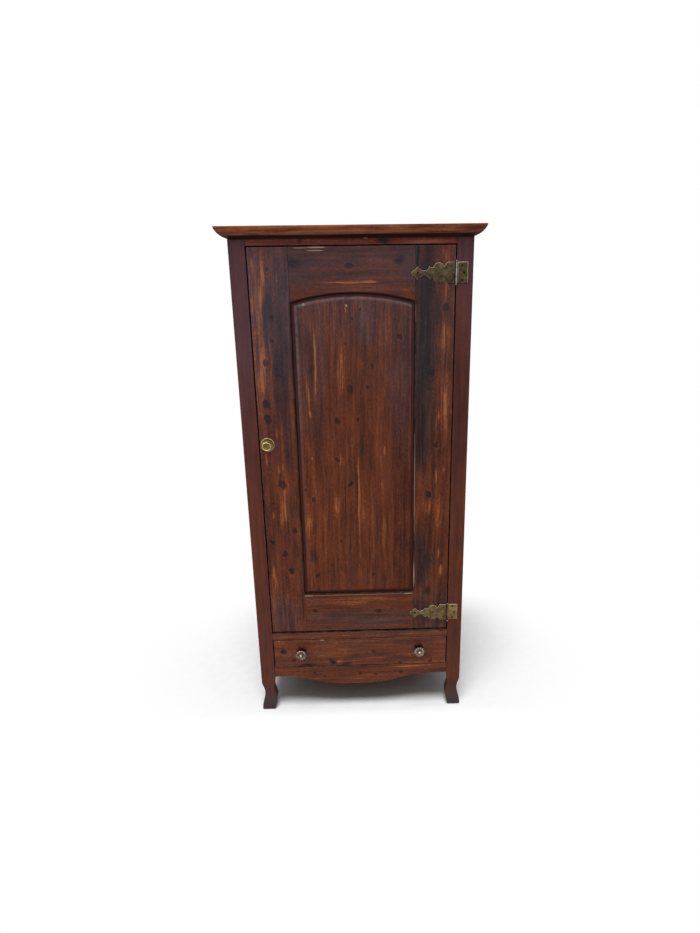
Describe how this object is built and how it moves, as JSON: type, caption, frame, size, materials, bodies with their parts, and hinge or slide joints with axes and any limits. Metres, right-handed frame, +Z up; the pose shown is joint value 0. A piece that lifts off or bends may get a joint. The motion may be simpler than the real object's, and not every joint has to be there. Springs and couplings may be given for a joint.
{
  "type": "wardrobe",
  "caption": "Free-standing cedar wardrobe with a moulded crown, a hinged door with an arched raised panel, a hanging rod, a drawer under the door, a serpentine apron and shaped feet.",
  "frame": {"origin": "on the floor, under the middle of the whole object", "axes": "+Z up, -Y out of the front, +X to the right of someone who faces the front"},
  "size_m": [0.713, 0.486, 1.502],
  "materials": {
    "cedar_frame": "stained and waxed red cedar, satin",
    "cedar_door": "stained knotty red cedar, satin, worn along edges",
    "cedar_warm": "lighter orange-brown red cedar, satin",
    "cedar_inner": "bare cedar, matt",
    "old_brass": "antique brass, dull",
    "bright_steel": "bright plated steel",
    "pewter": "antique silver with a brassy centre"
  },
  "bodies": {
    "case": {"post_front_left": "cedar_frame", "post_front_right": "cedar_frame", "post_back_left": "cedar_frame", "post_back_right": "cedar_frame", "top_rail": "cedar_frame", "mid_rail": "cedar_warm", "apron": "cedar_warm", "side_rail_top_left": "cedar_frame", "side_rail_bottom_left": "cedar_frame", "side_rail_top_right": "cedar_frame", "side_rail_bottom_right": "cedar_frame", "side_panel_left": "cedar_door", "side_panel_right": "cedar_door", "back_rail_top": "cedar_inner", "back_rail_middle": "cedar_inner", "back_rail_bottom": "cedar_inner", "back_board_1": "cedar_inner", "back_board_2": "cedar_inner", "back_board_3": "cedar_inner", "back_board_4": "cedar_inner", "back_board_5": "cedar_inner", "top_panel": "cedar_warm", "crown_front": "cedar_warm", "crown_left": "cedar_warm", "crown_right": "cedar_warm", "floor_panel": "cedar_inner", "door_stop": "cedar_inner", "hanging_rod": "cedar_inner", "rod_socket_left": "old_brass", "rod_socket_right": "old_brass", "drawer_runner_left": "cedar_inner", "drawer_runner_right": "cedar_inner", "hinge_leaf_top": "old_brass", "hinge_leaf_bottom": "old_brass", "hinge_pin_top": "bright_steel", "hinge_pin_bottom": "bright_steel"},
    "door": {"door_stile_left": "cedar_door", "door_stile_right": "cedar_door", "door_rail_top": "cedar_door", "door_rail_bottom": "cedar_door", "door_panel": "cedar_door", "hinge_strap_top": "old_brass", "hinge_strap_bottom": "old_brass", "knob_backplate": "old_brass", "backplate_screw_upper": "old_brass", "backplate_screw_lower": "old_brass"},
    "latch": {"door_knob": "old_brass", "latch_tongue": "old_brass"},
    "drawer": {"drawer_front": "cedar_warm", "drawer_side_left": "cedar_inner", "drawer_side_right": "cedar_inner", "drawer_back": "cedar_inner", "drawer_bottom": "cedar_inner", "drawer_knob_left": "pewter", "drawer_knob_right": "pewter", "drawer_knob_screw_left": "bright_steel", "drawer_knob_screw_right": "bright_steel"}
  },
  "joints": [
    {"name": "door_hinge", "type": "hinge", "parent": "case", "child": "door", "pos_m": [0.28075, -0.2105, 0.868], "axis": [0, 0, 1], "range_deg": [0, 180]},
    {"name": "latch_turn", "type": "hinge", "parent": "door", "child": "latch", "pos_m": [-0.2565, -0.207, 0.913], "axis": [0, 1, 0], "range_deg": [0, 90]},
    {"name": "drawer_slide", "type": "slide", "parent": "case", "child": "drawer", "axis": [0, -1, 0], "range_m": [0, 0.3]}
  ]
}
